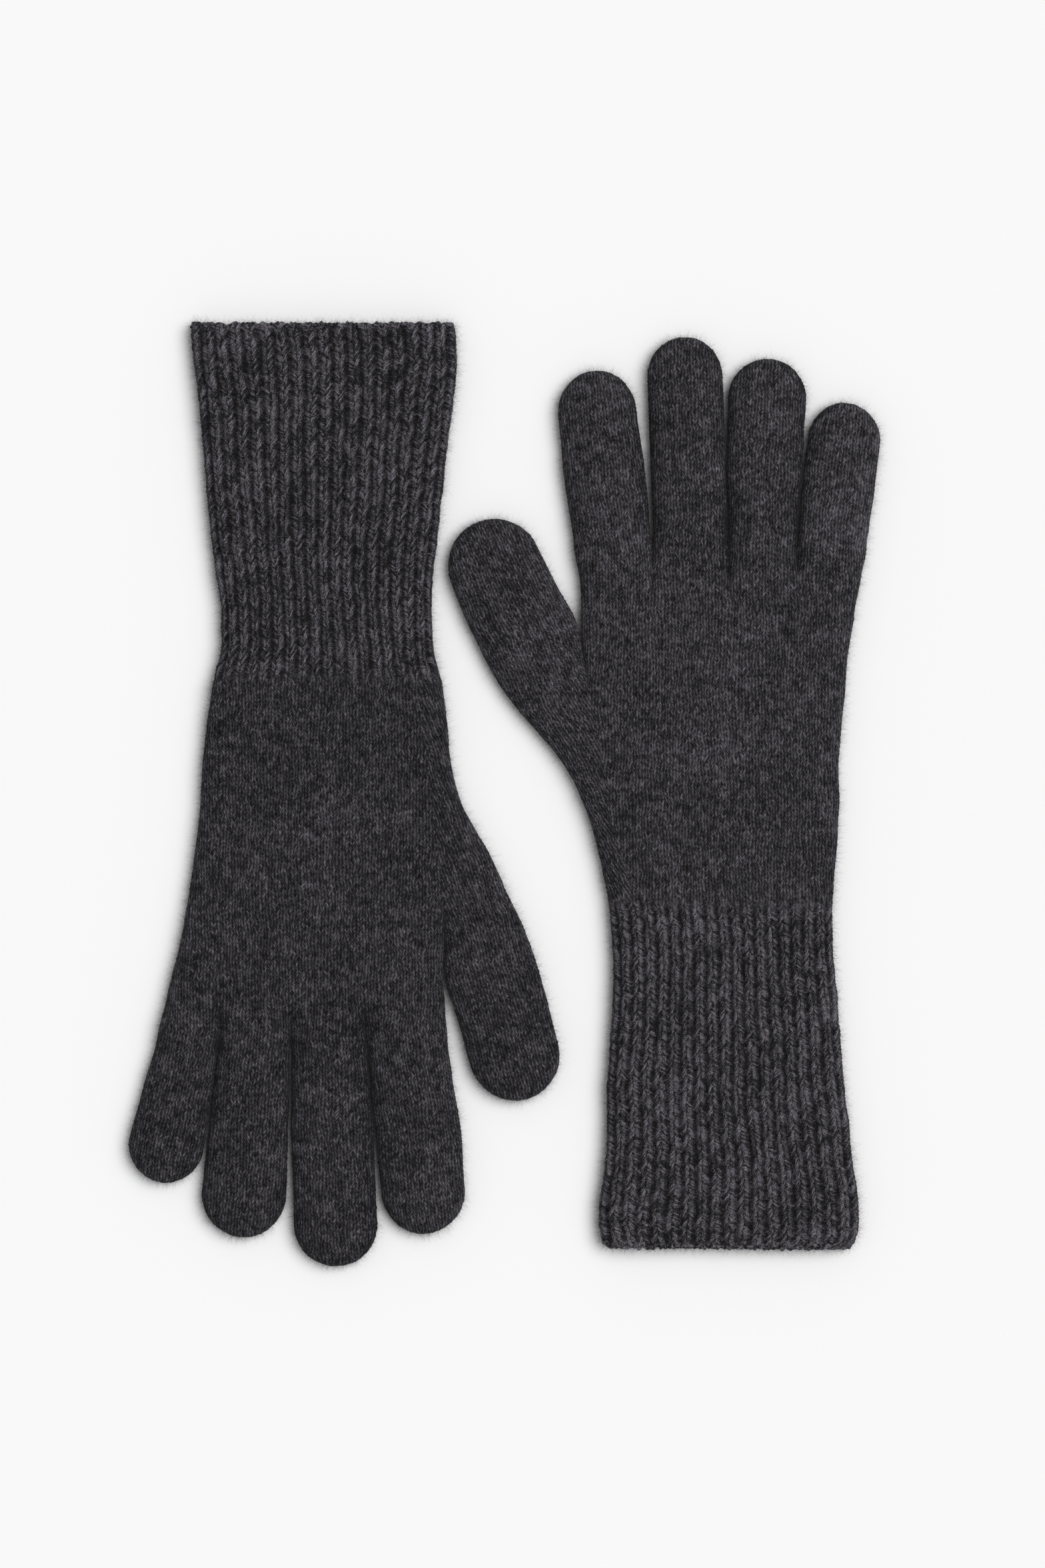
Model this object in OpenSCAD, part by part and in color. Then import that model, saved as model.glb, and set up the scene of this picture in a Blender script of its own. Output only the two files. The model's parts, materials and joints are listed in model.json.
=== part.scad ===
// Pair of long-cuffed knitted gloves lying flat on a table, one beside the other.
// The left-hand glove lies palm up with its fingers towards -Y, and the right-hand glove lies
// back up with its fingers towards +Y. Each glove is one seamless knitted tube, drawn as the
// sections that fold against each other. Millimetres; +Z is up from the table, and the origin
// is on the table at the middle of the pair.

/* [Knitting] */
// Height of a glove lying flat, with both of its layers and the air between them
flat_h = 9; // [8.5:0.5:12]
// Thickness of one knitted layer
wall = 1.8; // [1.4:0.1:2]
// Clearance between two sections of the knitting that fold against each other
fold_gap = 0.3; // [0.2:0.1:0.5]
// Clearance between the sides of two fingers that lie side by side
finger_gap = 0.8; // [0.6:0.1:1.5]

/* [Cuff] */
// Depth of the cast-on hem at the edge of a cuff
hem_len = 4; // [3:0.5:6]
// Length of the ribbed cuff of the left glove, with its hem
left_cuff_len = 120; // [112:1:126]
// Length of the ribbed cuff of the right glove, with its hem
right_cuff_len = 116; // [112:1:122]
// Share of the cuff's length below the line where it is turned back
turn_share = 0.5; // [0.45:0.01:0.55]

/* [Fingers] */
// Distance from the hem to the roots of the left glove's fingers
left_knuckle_y = 238; // [236:1:242]
// Distance from the hem to the roots of the right glove's fingers
right_knuckle_y = 234; // [232:1:238]
// Lengths of the left glove's index, middle, ring and little fingers
left_finger_len = [68, 79, 69, 51];
// Lengths of the right glove's index, middle, ring and little fingers
right_finger_len = [60.5, 72, 65, 50];
// Share of a finger's length between its root and its middle joint
middle_joint_share = 0.48; // [0.42:0.01:0.52]
// Widths of the left glove's fingers at their tips, index to little
left_finger_w = [30, 29, 29, 25.5];
// Widths of the right glove's fingers at their tips, index to little
right_finger_w = [28, 27, 27, 25.5];

/* [Thumbs] */
// Length of a thumb from its root fold to its tip
thumb_len = 62; // [56:1:66]
// Width of a thumb at its middle
thumb_w = 31.5; // [28:0.5:32]
// Width of a thumb at its root fold
thumb_root_w = 25; // [22:0.5:26]
// Share of a thumb's length between its root fold and its own joint
thumb_joint_share = 0.5; // [0.42:0.01:0.54]
// Lean of the left glove's thumb away from its fingers, in degrees
left_thumb_lean = 21; // [18:1:24]
// Lean of the right glove's thumb away from its fingers, in degrees
right_thumb_lean = 30; // [27:1:32]

/* [Hidden] */

// Each glove is drawn in its own frame: the hem on the line y = 0, the fingers towards +Y and
// the thumb on the -X side. A glove is a list of the fields named here.
PLACE = 0;        // where the middle of its hem lies in the pair, and its turn in degrees
CUFF = 1;         // length of its cuff
KNUCKLES = 2;     // distance from the hem to the finger roots
OUTLINE = 3;      // [y, x on the thumb side, x on the little finger's side], hem to knuckles
ROOTS = 4;        // x of the five edges of the four fingers, at the knuckles
LENGTHS = 5;      // lengths of the fingers
WIDTHS = 6;       // widths of the fingers at their tips
TIPS = 7;         // x of the middles of the four fingertips
THUMB = 8;        // [the middle of the thumb's root fold, the lean of the thumb]

LEFT = [
    [[-61, 158.5], 180],
    left_cuff_len,
    left_knuckle_y,
    [
        [0, -44.5, 44.5], [8, -45.5, 44], [48, -41.5, 40], [75, -38, 37.5], [98, -36.5, 35],
        [110, -37.5, 35], [left_cuff_len, -39.5, 37.5], [148, -42.5, 41], [162, -46.5, 42],
        [178, -55.5, 43.5], [195, -64, 46], [206, -39.8, 48.5], [222, -40, 52],
        [left_knuckle_y, -42, 56]
    ],
    [-42, -13.5, 11, 35, 56],
    left_finger_len,
    left_finger_w,
    [-36, -5, 28.5, 56.5],
    [[-52.6, 201], left_thumb_lean]
];
RIGHT = [
    [[76, -152.5], 0],
    right_cuff_len,
    right_knuckle_y,
    [
        [0, -42.5, 42.5], [8, -44.5, 43.5], [26, -42.5, 41.5], [51, -41.5, 38.5],
        [75, -39.5, 36.5], [98, -39, 35], [right_cuff_len, -40.5, 35], [132, -43.5, 36],
        [148, -48.5, 36.5], [162, -55, 37], [174, -63.5, 38], [181, -69.5, 38.5],
        [195, -47, 39.5], [209, -49, 41.5], [right_knuckle_y, -52.5, 46]
    ],
    [-52.5, -26, -1, 22, 46],
    right_finger_len,
    right_finger_w,
    [-47.5, -16, 12.5, 40],
    [[-59.3, 188], right_thumb_lean]
];

YARN = [0.16, 0.16, 0.175];
RIB_YARN = [0.14, 0.14, 0.155];
HEM_YARN = [0.2, 0.2, 0.215];

// How many steps make each rounded side of a section, and each rounded tip.
SIDE_STEPS = 6;
TIP_STEPS = 5;
// A tip narrows as an ellipse whose depth is this share of half the finger's width.
TIP_ROUND = 0.92;
// The last ring of a tip, as a share of its quarter turn; the rest is a small flat end.
TIP_END = 0.93;
// How far the way into the thumb reaches into the hand's hollow, and out past the root fold.
PASSAGE_LEN = 24;
PASSAGE_OUT = 8;

// One cross-section of a flattened tube: straight above and below, and a half circle on each
// side. A station is [y, x on the low side, x on the high side, height, bottom].
function ring(s) =
    let (r = s[3] / 2, z = s[4] + r)
    [
        for (side = [0, 1], i = [0 : SIDE_STEPS])
            let (a = -90 + 180 * i / SIDE_STEPS + 180 * side)
            [(side == 0 ? s[2] - r : s[1] + r) + r * cos(a), s[0], z + r * sin(a)]
    ];

RING = 2 * (SIDE_STEPS + 1);

// The two rows of triangles between one ring and the next.
function band(from, to) = [
    for (i = [0 : RING - 1])
        let (j = (i + 1) % RING)
        each [[from + i, to + i, to + j], [from + i, to + j, from + j]]
];

// A tube of knitting as one closed surface: the outside from the near end to the far one, and
// the inside back again. The near end is open, and the far end is open unless it is a tip.
module tube(outside, inside, is_tip = false) {
    back = [for (i = [len(inside) - 1 : -1 : 0]) inside[i]];
    all_rings = concat(outside, back);
    last = len(all_rings) - 1;
    turn = len(outside) - 1;
    bands = [
        for (k = [0 : last])
            if (!(is_tip && k == turn)) each band(k * RING, (k + 1) % (last + 1) * RING)
    ];
    caps = is_tip
        ? [
            [for (i = [RING - 1 : -1 : 0]) turn * RING + i],
            [for (i = [0 : RING - 1]) (turn + 1) * RING + i]
        ]
        : [];
    polyhedron([for (s = all_rings) each ring(s)], concat(bands, caps), convexity = 6);
}

// The inside of a station, one layer of knitting in from it.
function inner(s) = [s[0], s[1] + wall, s[2] - wall, s[3] - 2 * wall, s[4] + wall];

// The station of an outline at a given y, between its listed ones.
function at(outline, y) = [
    y,
    lookup(y, [for (s = outline) [s[0], s[1]]]),
    lookup(y, [for (s = outline) [s[0], s[2]]]),
    flat_h,
    0
];

// The stations of an outline from y0 to y1.
function span(outline, y0, y1) = concat(
    [at(outline, y0)],
    [for (s = outline) if (s[0] > y0 + 1 && s[0] < y1 - 1) at(outline, s[0])],
    [at(outline, y1)]
);

// The stations of a rounded tip that starts as station s and reaches y = tip_y.
function tip(s, tip_y) =
    let (middle = (s[1] + s[2]) / 2, half = (s[2] - s[1]) / 2)
    [
        for (i = [0 : TIP_STEPS])
            let (a = 90 * TIP_END * i / TIP_STEPS, h = s[3] * sqrt(cos(a)))
            [
                s[0] + (tip_y - s[0]) * sin(a) / sin(90 * TIP_END),
                middle - max(half * cos(a), h / 2 + 0.1),
                middle + max(half * cos(a), h / 2 + 0.1),
                h,
                s[4] + (s[3] - h) / 2
            ]
    ];

// A section that is open at both ends.
module sleeve(outline, y0, y1) {
    stations = span(outline, y0, y1);
    tube(stations, [for (s = stations) inner(s)]);
}

// A section that ends in a rounded tip at y1.
module fingertip(outline, y0, y1) {
    end = at(outline, y1);
    start_y = y1 - TIP_ROUND * (end[2] - end[1]) / 2;
    shank = span(outline, y0, start_y);
    hollow = [for (s = shank) inner(s)];
    outside = concat([for (i = [0 : len(shank) - 2]) shank[i]], tip(shank[len(shank) - 1], y1));
    inside = concat([for (i = [0 : len(hollow) - 2]) hollow[i]], tip(hollow[len(hollow) - 1], y1 - wall));
    tube(outside, inside, is_tip = true);
}

module placed(glove) {
    translate(glove[PLACE][0]) rotate(glove[PLACE][1]) children();
}

// The straight-sided outline of finger number f, from its root to its tip.
function finger_outline(glove, f) =
    let (
        y0 = glove[KNUCKLES],
        y1 = y0 + glove[LENGTHS][f],
        clear = finger_gap / 2,
        half = glove[WIDTHS][f] / 2 - clear
    )
    [
        [y0, glove[ROOTS][f] + clear, glove[ROOTS][f + 1] - clear],
        [y1, glove[TIPS][f] - half, glove[TIPS][f] + half]
    ];

function joint_y(glove, f) = glove[KNUCKLES] + middle_joint_share * glove[LENGTHS][f];

module finger_base(glove, f) {
    color(YARN) placed(glove)
        sleeve(finger_outline(glove, f), glove[KNUCKLES] + fold_gap, joint_y(glove, f));
}

module finger_tip(glove, f) {
    color(YARN) placed(glove)
        fingertip(
            finger_outline(glove, f),
            joint_y(glove, f) + fold_gap,
            glove[KNUCKLES] + glove[LENGTHS][f]
        );
}

// A thumb's own frame has its root fold on the line y = 0, and it widens towards its middle.
THUMB_OUTLINE = [
    [0, -thumb_root_w / 2, thumb_root_w / 2],
    [15, -thumb_w / 2 + 2.4, thumb_w / 2 + 1.8],
    [thumb_len, -thumb_w / 2 + 3.2, thumb_w / 2 + 2.4]
];
thumb_joint = thumb_joint_share * thumb_len;

module at_thumb(glove) {
    translate(glove[THUMB][0]) rotate(glove[THUMB][1]) children();
}

module thumb_base(glove) {
    color(YARN) placed(glove) at_thumb(glove) sleeve(THUMB_OUTLINE, fold_gap, thumb_joint);
}

module thumb_tip(glove) {
    color(YARN) placed(glove) at_thumb(glove)
        fingertip(THUMB_OUTLINE, thumb_joint + fold_gap, thumb_len);
}

// The way from the hand's hollow into the thumb.
module thumb_passage(glove) {
    clear_w = thumb_root_w - 2 * wall - 2;
    at_thumb(glove) translate([-clear_w / 2, -PASSAGE_LEN, wall])
        cube([clear_w, PASSAGE_LEN + PASSAGE_OUT, flat_h - 2 * wall]);
}

module hand(glove) {
    color(YARN) placed(glove) difference() {
        sleeve(glove[OUTLINE], glove[CUFF] + fold_gap, glove[KNUCKLES]);
        thumb_passage(glove);
    }
}

module cuff_upper(glove) {
    color(RIB_YARN) placed(glove)
        sleeve(glove[OUTLINE], turn_share * glove[CUFF] + fold_gap, glove[CUFF]);
}

module cuff_lower(glove) {
    color(RIB_YARN) placed(glove) sleeve(glove[OUTLINE], hem_len, turn_share * glove[CUFF]);
}

module hem(glove) {
    color(HEM_YARN) placed(glove) sleeve(glove[OUTLINE], 0, hem_len);
}

hem(LEFT);  // left_hem
cuff_lower(LEFT);  // left_cuff_lower
cuff_upper(LEFT);  // left_cuff_upper
hand(LEFT);  // left_hand
thumb_base(LEFT);  // left_thumb_base
thumb_tip(LEFT);  // left_thumb_tip
finger_base(LEFT, 0);  // left_index_base
finger_tip(LEFT, 0);  // left_index_tip
finger_base(LEFT, 1);  // left_middle_base
finger_tip(LEFT, 1);  // left_middle_tip
finger_base(LEFT, 2);  // left_ring_base
finger_tip(LEFT, 2);  // left_ring_tip
finger_base(LEFT, 3);  // left_little_base
finger_tip(LEFT, 3);  // left_little_tip
hem(RIGHT);  // right_hem
cuff_lower(RIGHT);  // right_cuff_lower
cuff_upper(RIGHT);  // right_cuff_upper
hand(RIGHT);  // right_hand
thumb_base(RIGHT);  // right_thumb_base
thumb_tip(RIGHT);  // right_thumb_tip
finger_base(RIGHT, 0);  // right_index_base
finger_tip(RIGHT, 0);  // right_index_tip
finger_base(RIGHT, 1);  // right_middle_base
finger_tip(RIGHT, 1);  // right_middle_tip
finger_base(RIGHT, 2);  // right_ring_base
finger_tip(RIGHT, 2);  // right_ring_tip
finger_base(RIGHT, 3);  // right_little_base
finger_tip(RIGHT, 3);  // right_little_tip
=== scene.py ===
"""Looks of a pair of knitted gloves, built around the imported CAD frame.

Each glove is knitted as one surface in its own frame and then cut along its fold lines into one
piece for each CAD section, and two for the hand. In that frame the hem lies on y = 0, the
fingers point to +y, the thumb is on the -x side and lengths are in millimetres.
"""

import json
import math

import bpy
import numpy as np
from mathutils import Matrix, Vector


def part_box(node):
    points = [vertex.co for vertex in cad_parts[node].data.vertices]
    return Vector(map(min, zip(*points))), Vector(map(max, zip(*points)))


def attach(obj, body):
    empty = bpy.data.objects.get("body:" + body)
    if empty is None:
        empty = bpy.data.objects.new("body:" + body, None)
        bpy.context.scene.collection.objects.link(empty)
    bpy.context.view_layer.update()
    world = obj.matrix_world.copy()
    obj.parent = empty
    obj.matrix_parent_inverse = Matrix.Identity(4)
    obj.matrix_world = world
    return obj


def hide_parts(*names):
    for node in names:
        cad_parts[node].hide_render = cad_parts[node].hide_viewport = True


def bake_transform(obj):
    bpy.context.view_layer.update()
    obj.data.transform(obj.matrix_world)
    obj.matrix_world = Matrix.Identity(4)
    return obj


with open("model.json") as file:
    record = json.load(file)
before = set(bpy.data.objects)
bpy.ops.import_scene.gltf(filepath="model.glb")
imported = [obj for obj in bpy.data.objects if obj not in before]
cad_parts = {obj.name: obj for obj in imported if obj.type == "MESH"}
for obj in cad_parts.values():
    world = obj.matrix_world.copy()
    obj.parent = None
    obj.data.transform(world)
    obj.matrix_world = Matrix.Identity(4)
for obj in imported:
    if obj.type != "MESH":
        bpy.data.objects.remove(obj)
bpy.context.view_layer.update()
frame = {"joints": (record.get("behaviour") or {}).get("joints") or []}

MM = 0.001
JOINTS = {joint["name"]: joint for joint in frame["joints"]}
FINGERS = ("index", "middle", "ring", "little")

# --- Knitting ---
COURSE = 1.27         # height of one row of stitches
CUFF_WALES = 38       # columns of stitches on each side of a cuff, every second one sunk
PLAIN_RISE = 1.5      # how many courses a leg of a V climbs from the middle to the edge of a wale
RIB_RISES = (-2.3, -1.0)   # the same on the left and the right half of a rib, which run down
RIB_STRANDS = (1.0, 2.0)   # strands of yarn that show in a stitch on each half of a rib
PLAIN_TAPER = 1.3     # how bluntly the legs of a V end: more is blunter
RIB_TAPER = 2.4
RIDGE_SHARE = 0.78    # share of a rib's pitch that its ridge takes
STITCH_DEPTH = 0.42   # height of the legs of the stitches
PLAIN_BODY = 0.3      # shares of it that the roundness and the legs of a plain wale take
PLAIN_LEGS = 0.8
RIB_LEGS = 0.7        # the same for the legs on a rib
RIB_DEPTH = 0.98      # height of a ridge above the valley beside it
RIB_SINK = 0.6        # share of that which lies below the base of the knitting
RIB_VARIES = 0.22     # by what share of it some places of a rib are higher or lower
RIB_PLACE = 4.5       # size of those places
VALLEY_STITCH = 0.14  # height of the stitches in the valleys
RIB_FADE = (5.0, 3.5) # how far before and past the wrist the ribs start and end dying out
HEM_ROLL = (0.8, 2.6) # heights above the edge between which its lumps turn into ribs
HEM_LUMP = 0.6        # height of those lumps, and how many there are to a wale
HEM_LUMPS = 1.5
HEM_RIBS = 0.4        # share of the ribs' height that shows among the lumps
WALL = 1.8            # thickness of one layer at the open edge of the cuff

# --- Grid ---
ROW = COURSE / 3.5    # spacing of the grid along the glove
CUFF_STEPS = 6        # grid columns to a wale on the upper side of a cuff
UNDER_SHARE = 0.6     # columns on the under side, as a share of those on the upper side
BAND_COLUMNS = 64     # grid columns across a finger or the thumb, on the upper side
INSIDE_ROW = 1.2      # spacing of the grid inside the cuff
GHOST_ROWS = 3        # rows past a cut that only shape the shading there
WELD_GRID = 500       # steps to a millimetre: points that fall on the same step are welded
BAKE_EDGE = 0.015     # margin around each grid in a piece's bake layout
PROFILE_STEPS = 72    # steps in which the outline of a cross-section is measured

# --- Thickness ---
LIE = 0.35            # height of the under side's base above the table, for its own relief
RIM = 3.6             # height of the side edges, where the two layers meet
CROWN = 8.5           # height of the upper layer's base
SIDE_ROUND = 7.5      # width of the rounding along the sides of the hand and cuff
UNDER_ROUND = 5.0     # the same on the under side, which lies flatter
FINGER_ROUND = 0.86   # width of the rounding on a finger, as a share of half its width
GROOVE_LEN = 12.0     # length over which a groove deepens towards a fork between two fingers
GROOVE_WIDTH = 1.2    # distance over which painted shade darkens the knitting into a groove
# strength of the painted shade in the grooves between fingers
GROOVE_SHADE = 1.2
PALE_FINGER = 0.3     # how much lighter than the rest the palest finger is
BEND_LEN = 15.0       # length of knitting past each fold line
THUMB_TURN_FROM = 8.0 # height above the wrist where the rows start to turn towards the thumb
THUMB_END_DEPTH = 15.5
THUMB_SETTLE = 12.0   # length over which the thumb's edges turn from one line to the next
TIP_DEPTH = 0.97      # depth of a rounded fingertip, as a share of half the finger's width
FINGER_GAP = 0.62     # how far each side of a finger keeps away from its neighbour
GAP_OPENS = 0.12      # share of the finger's length over which that gap opens
FINGER_BULGE = 0.5    # how far a finger's sides bow out halfway along it

# --- Unevenness of soft knitting: (amount, size, seed) of each random drift ---
SIDEWAYS_DRIFT = ((0.4, 21, 0), (0.16, 6, 1))
LENGTHWAYS_DRIFT = ((0.4, 24, 2),)
SWELLS = ((0.07, 26, 3), (0.04, 9, 4))   # as shares of the height, lowered by SWELL_SINK
SWELL_SINK = 0.05
WALE_DRIFT = ((0.17, 14, 5), (0.12, 4.3, 6), (0.14, 1.9, 7))
COURSE_DRIFT = ((0.5, 30, 8), (0.22, 5, 9), (0.32, 1.8, 10))

# --- Fuzz: loose fibres of the wool ---
FUZZ_DENSITY = 4.0    # fibres to a square millimetre
FUZZ_STEPS = 4
FUZZ_OUT = 1.0        # how far a fibre stands out, leans to a random side and curls
FUZZ_ASIDE = 1.8
FUZZ_CURL = 3.6
FUZZ_WIDTH = 0.021


# --- Outlines ---
class Glove:
    """The places of one glove's lines, from the frame, and the outline that they don't give."""

    def __init__(
        self, side, turn, outline, palm_edge, gusset, thumb, thumb_turn, fingers, pale_finger, tone,
        nick, seed,
    ):
        self.side = side
        self.turn = turn
        self.seed = seed
        self.thumb = thumb
        self.thumb_turn = thumb_turn
        self.pale_finger = pale_finger
        self.tone = tone
        self.nick = nick
        low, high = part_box(side + "_hem")
        hem_y = high.y if turn < 0 else low.y
        self.origin = (JOINTS[side + "_wrist_fold"]["pos_m"][0] / MM, hem_y / MM)
        self.wrist = self.place("wrist_fold")[1]
        self.turn_line = self.place("cuff_turn")[1]
        self.hem = abs(high.y - low.y) / MM
        self.knuckles = self.place("index_knuckle")[1]
        self.thumb_root = np.array(self.place("thumb_root"))
        axis = JOINTS[side + "_thumb_root"]["axis"]
        self.thumb_across = turn * np.array(axis[:2])
        self.thumb_along = np.array([-self.thumb_across[1], self.thumb_across[0]])
        self.fork = self.thumb_root + thumb[0][2] * self.thumb_across
        fork = [(self.fork[1], self.fork[0])]
        self.thumb_side = [(y, x) for y, x, _ in outline]
        self.little_side = [(y, x) for y, _, x in outline]
        self.palm_edge = fork + palm_edge
        self.gusset = gusset + fork
        self.fingers = fingers
        self.middle = float(curve(self.thumb_side, self.wrist) + curve(self.little_side, self.wrist)) / 2
        self.pitch = self.wale_pitch()

    def place(self, joint):
        """Where a joint is, in the glove's own frame."""
        x, y = JOINTS[self.side + "_" + joint]["pos_m"][:2]
        return self.turn * (x / MM - self.origin[0]), self.turn * (y / MM - self.origin[1])

    def tip_y(self, finger):
        """How far a finger reaches."""
        low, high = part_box(f"{self.side}_{finger}_tip")
        return max(self.turn * (y / MM - self.origin[1]) for y in (low.y, high.y))

    def wale_pitch(self):
        """Width of a column of stitches at the wrist, measured over the rounded sides."""
        _, across, excess = surface(cuff_rows(self, np.full(2, self.wrist)), CUFF_WALES, True)
        return float(np.ptp((across + excess)[0])) / CUFF_WALES

    def world(self, points):
        """Points of the glove's own frame as metres in the row frame."""
        placed = np.array(points, float)
        placed[:, 0] = self.origin[0] + self.turn * placed[:, 0]
        placed[:, 1] = self.origin[1] + self.turn * placed[:, 1]
        return placed * MM


# --- Numbers ---
def curve(stations, at):
    """Values of a smooth curve through stations, a list of (position, value)."""
    positions, values = np.array(stations, float).T
    slopes = np.gradient(values, positions)
    at = np.asarray(at, float)
    i = np.clip(np.searchsorted(positions, at) - 1, 0, len(positions) - 2)
    step = positions[i + 1] - positions[i]
    t = np.clip((at - positions[i]) / step, 0, 1)
    return (
        (2 * t**3 - 3 * t**2 + 1) * values[i]
        + (t**3 - 2 * t**2 + t) * step * slopes[i]
        + (3 * t**2 - 2 * t**3) * values[i + 1]
        + (t**3 - t**2) * step * slopes[i + 1]
    )


def ease(value, low, high):
    """0 below low, 1 above high and smooth between them."""
    t = np.clip((value - low) / (high - low), 0, 1)
    return t * t * (3 - 2 * t)


def fract(value):
    return value - np.floor(value)


def scatter(i, j, seed):
    """A random number from 0 to 1 for each pair of whole numbers."""
    n = (i.astype(np.int64) * 73856093) ^ (j.astype(np.int64) * 19349663) ^ (seed * 83492791)
    n = (n ^ (n >> 13)) * 1274126177 & 0xFFFFFFFF
    n = (n ^ (n >> 16)) * 2246822519 & 0xFFFFFFFF
    return ((n ^ (n >> 15)) & 0xFFFFFF) / 0xFFFFFF


def wander(x, y, size, seed):
    """Smooth random values from -1 to 1 that change over about size millimetres."""
    x = x / size
    y = y / size
    i = np.floor(x)
    j = np.floor(y)
    u = ease(x - i, 0, 1)
    v = ease(y - j, 0, 1)
    low = scatter(i, j, seed) * (1 - u) + scatter(i + 1, j, seed) * u
    high = scatter(i, j + 1, seed) * (1 - u) + scatter(i + 1, j + 1, seed) * u
    return 2 * (low * (1 - v) + high * v) - 1


def drift(x, y, parts, seed):
    """Each random value of a drift, in turn."""
    return [amount * wander(x, y, size, seed + salt) for amount, size, salt in parts]


def steps(start, end, spacing):
    """Evenly spaced values from start to end."""
    return np.linspace(start, end, max(2, round(abs(end - start) / spacing) + 1))


# --- Cross-sections ---
class Rows:
    """Cross-sections of one band of a glove, from the cuff towards a tip.

    left and right are the ends of each section in plan. round_left and round_right say how far
    that end is rounded down to the rim: 0 runs on into the next band and 1 is a closed side.
    side is the width of that rounding, height the thickness as a share of the whole, and inset
    how far the section lies inside the outer surface.
    """

    SHAPE = ("round_left", "round_right", "side", "height", "inset")

    def __init__(self, left, right, round_left=1.0, round_right=1.0, side=SIDE_ROUND, height=1.0, inset=0.0):
        count = len(left)
        self.left = np.array(left, float)
        self.right = np.array(right, float)
        for name, value in zip(self.SHAPE, (round_left, round_right, side, height, inset)):
            setattr(self, name, np.broadcast_to(np.asarray(value, float), count))

    def centres(self):
        return (self.left + self.right) / 2

    def widths(self):
        return np.linalg.norm(self.right - self.left, axis=1)[:, None]

    def join(self, other):
        """These sections followed by another band's, without its first one."""
        joined = Rows(
            np.concatenate([self.left, other.left[1:]]),
            np.concatenate([self.right, other.right[1:]]),
        )
        for name in self.SHAPE:
            setattr(joined, name, np.concatenate([getattr(self, name), getattr(other, name)[1:]]))
        return joined


def side_shape(distance, width):
    """Height of a rounded side at a distance in from its edge, from 0 to 1."""
    t = 1 - np.clip(distance / width, 0, 1)
    return np.sqrt(1 - t * t)


def surface(rows, columns, upper):
    """Grid of points over one layer of a band, with the way across each section and how much
    longer it is, measured over the rounding, than it looks in plan."""
    g = (1 - np.cos(np.linspace(0, np.pi, PROFILE_STEPS + 1))) / 2
    width = np.maximum(rows.widths(), 1e-6)
    x = g[None, :] * width
    rounding = rows.side[:, None] * (1 if upper else UNDER_ROUND / SIDE_ROUND)
    closed = np.minimum(rows.round_left, rows.round_right)[:, None]
    rounding = np.minimum(rounding, width * (1 - closed / 2))
    shape = (1 - rows.round_left[:, None] * (1 - side_shape(x, rounding))) * (
        1 - rows.round_right[:, None] * (1 - side_shape(width - x, rounding))
    )
    reach = (CROWN - RIM if upper else LIE - RIM) * rows.height[:, None]
    thinner = np.clip(rows.inset[:, None], 0, None) * np.sign(reach)
    z = RIM + (reach - thinner) * shape
    length = np.hypot(np.diff(x, axis=1), np.diff(z, axis=1)).cumsum(axis=1)
    length = np.concatenate([np.zeros((len(x), 1)), length], axis=1)
    share = np.linspace(0, 1, columns + 1)
    across = np.empty((len(x), columns + 1))
    height = np.empty_like(across)
    for r in range(len(x)):
        wanted = share * length[r, -1]
        across[r] = np.interp(wanted, length[r], x[r])
        height[r] = np.interp(wanted, length[r], z[r])
    middle = columns // 2
    run = share[None, :] * length[:, -1:]
    excess = (run - across) - (run - across)[:, middle : middle + 1]
    t = (across / width)[:, :, None]
    plan = rows.left[:, None, :] * (1 - t) + rows.right[:, None, :] * t
    return np.dstack([plan, height]), across, excess


def layers(rows, columns):
    """Both layers of a band: whether it is the upper one, and its surface."""
    for upper in (True, False):
        yield upper, *surface(rows, round(columns * (1 if upper else UNDER_SHARE)), upper)


def path_length(points):
    """Distance along a row of points to each of them."""
    return np.concatenate([[0], np.linalg.norm(np.diff(points, axis=0), axis=1).cumsum()])


# --- Stitches ---
def legs(m, q, column, taper, seed):
    """Height of the two legs of each V, from 0 to 1, with thicker and thinner ones among them."""
    leg = 1 - np.abs(2 * m - 1) ** taper
    thread = 0.5 - 0.5 * np.cos(2 * np.pi * q)
    plump = 0.65 + 0.7 * scatter(np.floor(2 * column), np.floor(q), seed)
    return leg * thread * plump


def plain_relief(wale, course, seed):
    """Height of plain knitting in millimetres: a column of V's in each wale."""
    m = np.abs(2 * fract(wale) - 1)
    q = course - PLAIN_RISE * m
    return STITCH_DEPTH * (PLAIN_BODY * (1 - m**4) + PLAIN_LEGS * legs(m, q, wale, PLAIN_TAPER, seed))


def rib_relief(wale, course, seed):
    """Height of 1x1 rib in millimetres: ridges of V's with sunk wales between them."""
    column = (wale + 1) / 2
    m = np.clip(np.abs(2 * fract(column) - 1) / RIDGE_SHARE, 0, 1)
    q = course - np.where(fract(column) > 0.5, RIB_RISES[1], RIB_RISES[0]) * m
    ridge = np.sqrt(1 - m**2.2)
    full = 1 + RIB_VARIES * wander(wale * 2.0, course * COURSE, RIB_PLACE, seed + 8)
    floor = VALLEY_STITCH * np.cos(2 * np.pi * course) * (m >= 1)
    stitches = RIB_LEGS * STITCH_DEPTH * legs(m, q, column, RIB_TAPER, seed)
    return RIB_DEPTH * full * (ridge - RIB_SINK) + stitches + floor


def hem_relief(wale, course, seed):
    """Height of the cast-on edge in millimetres: rows of small uneven lumps."""
    across = HEM_LUMPS * wale
    lump = np.abs(np.sin(np.pi * across) * np.sin(np.pi * (course + 0.5 * np.floor(across))))
    return HEM_LUMP * lump * (0.5 + scatter(np.floor(across), np.floor(course), seed))


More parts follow.
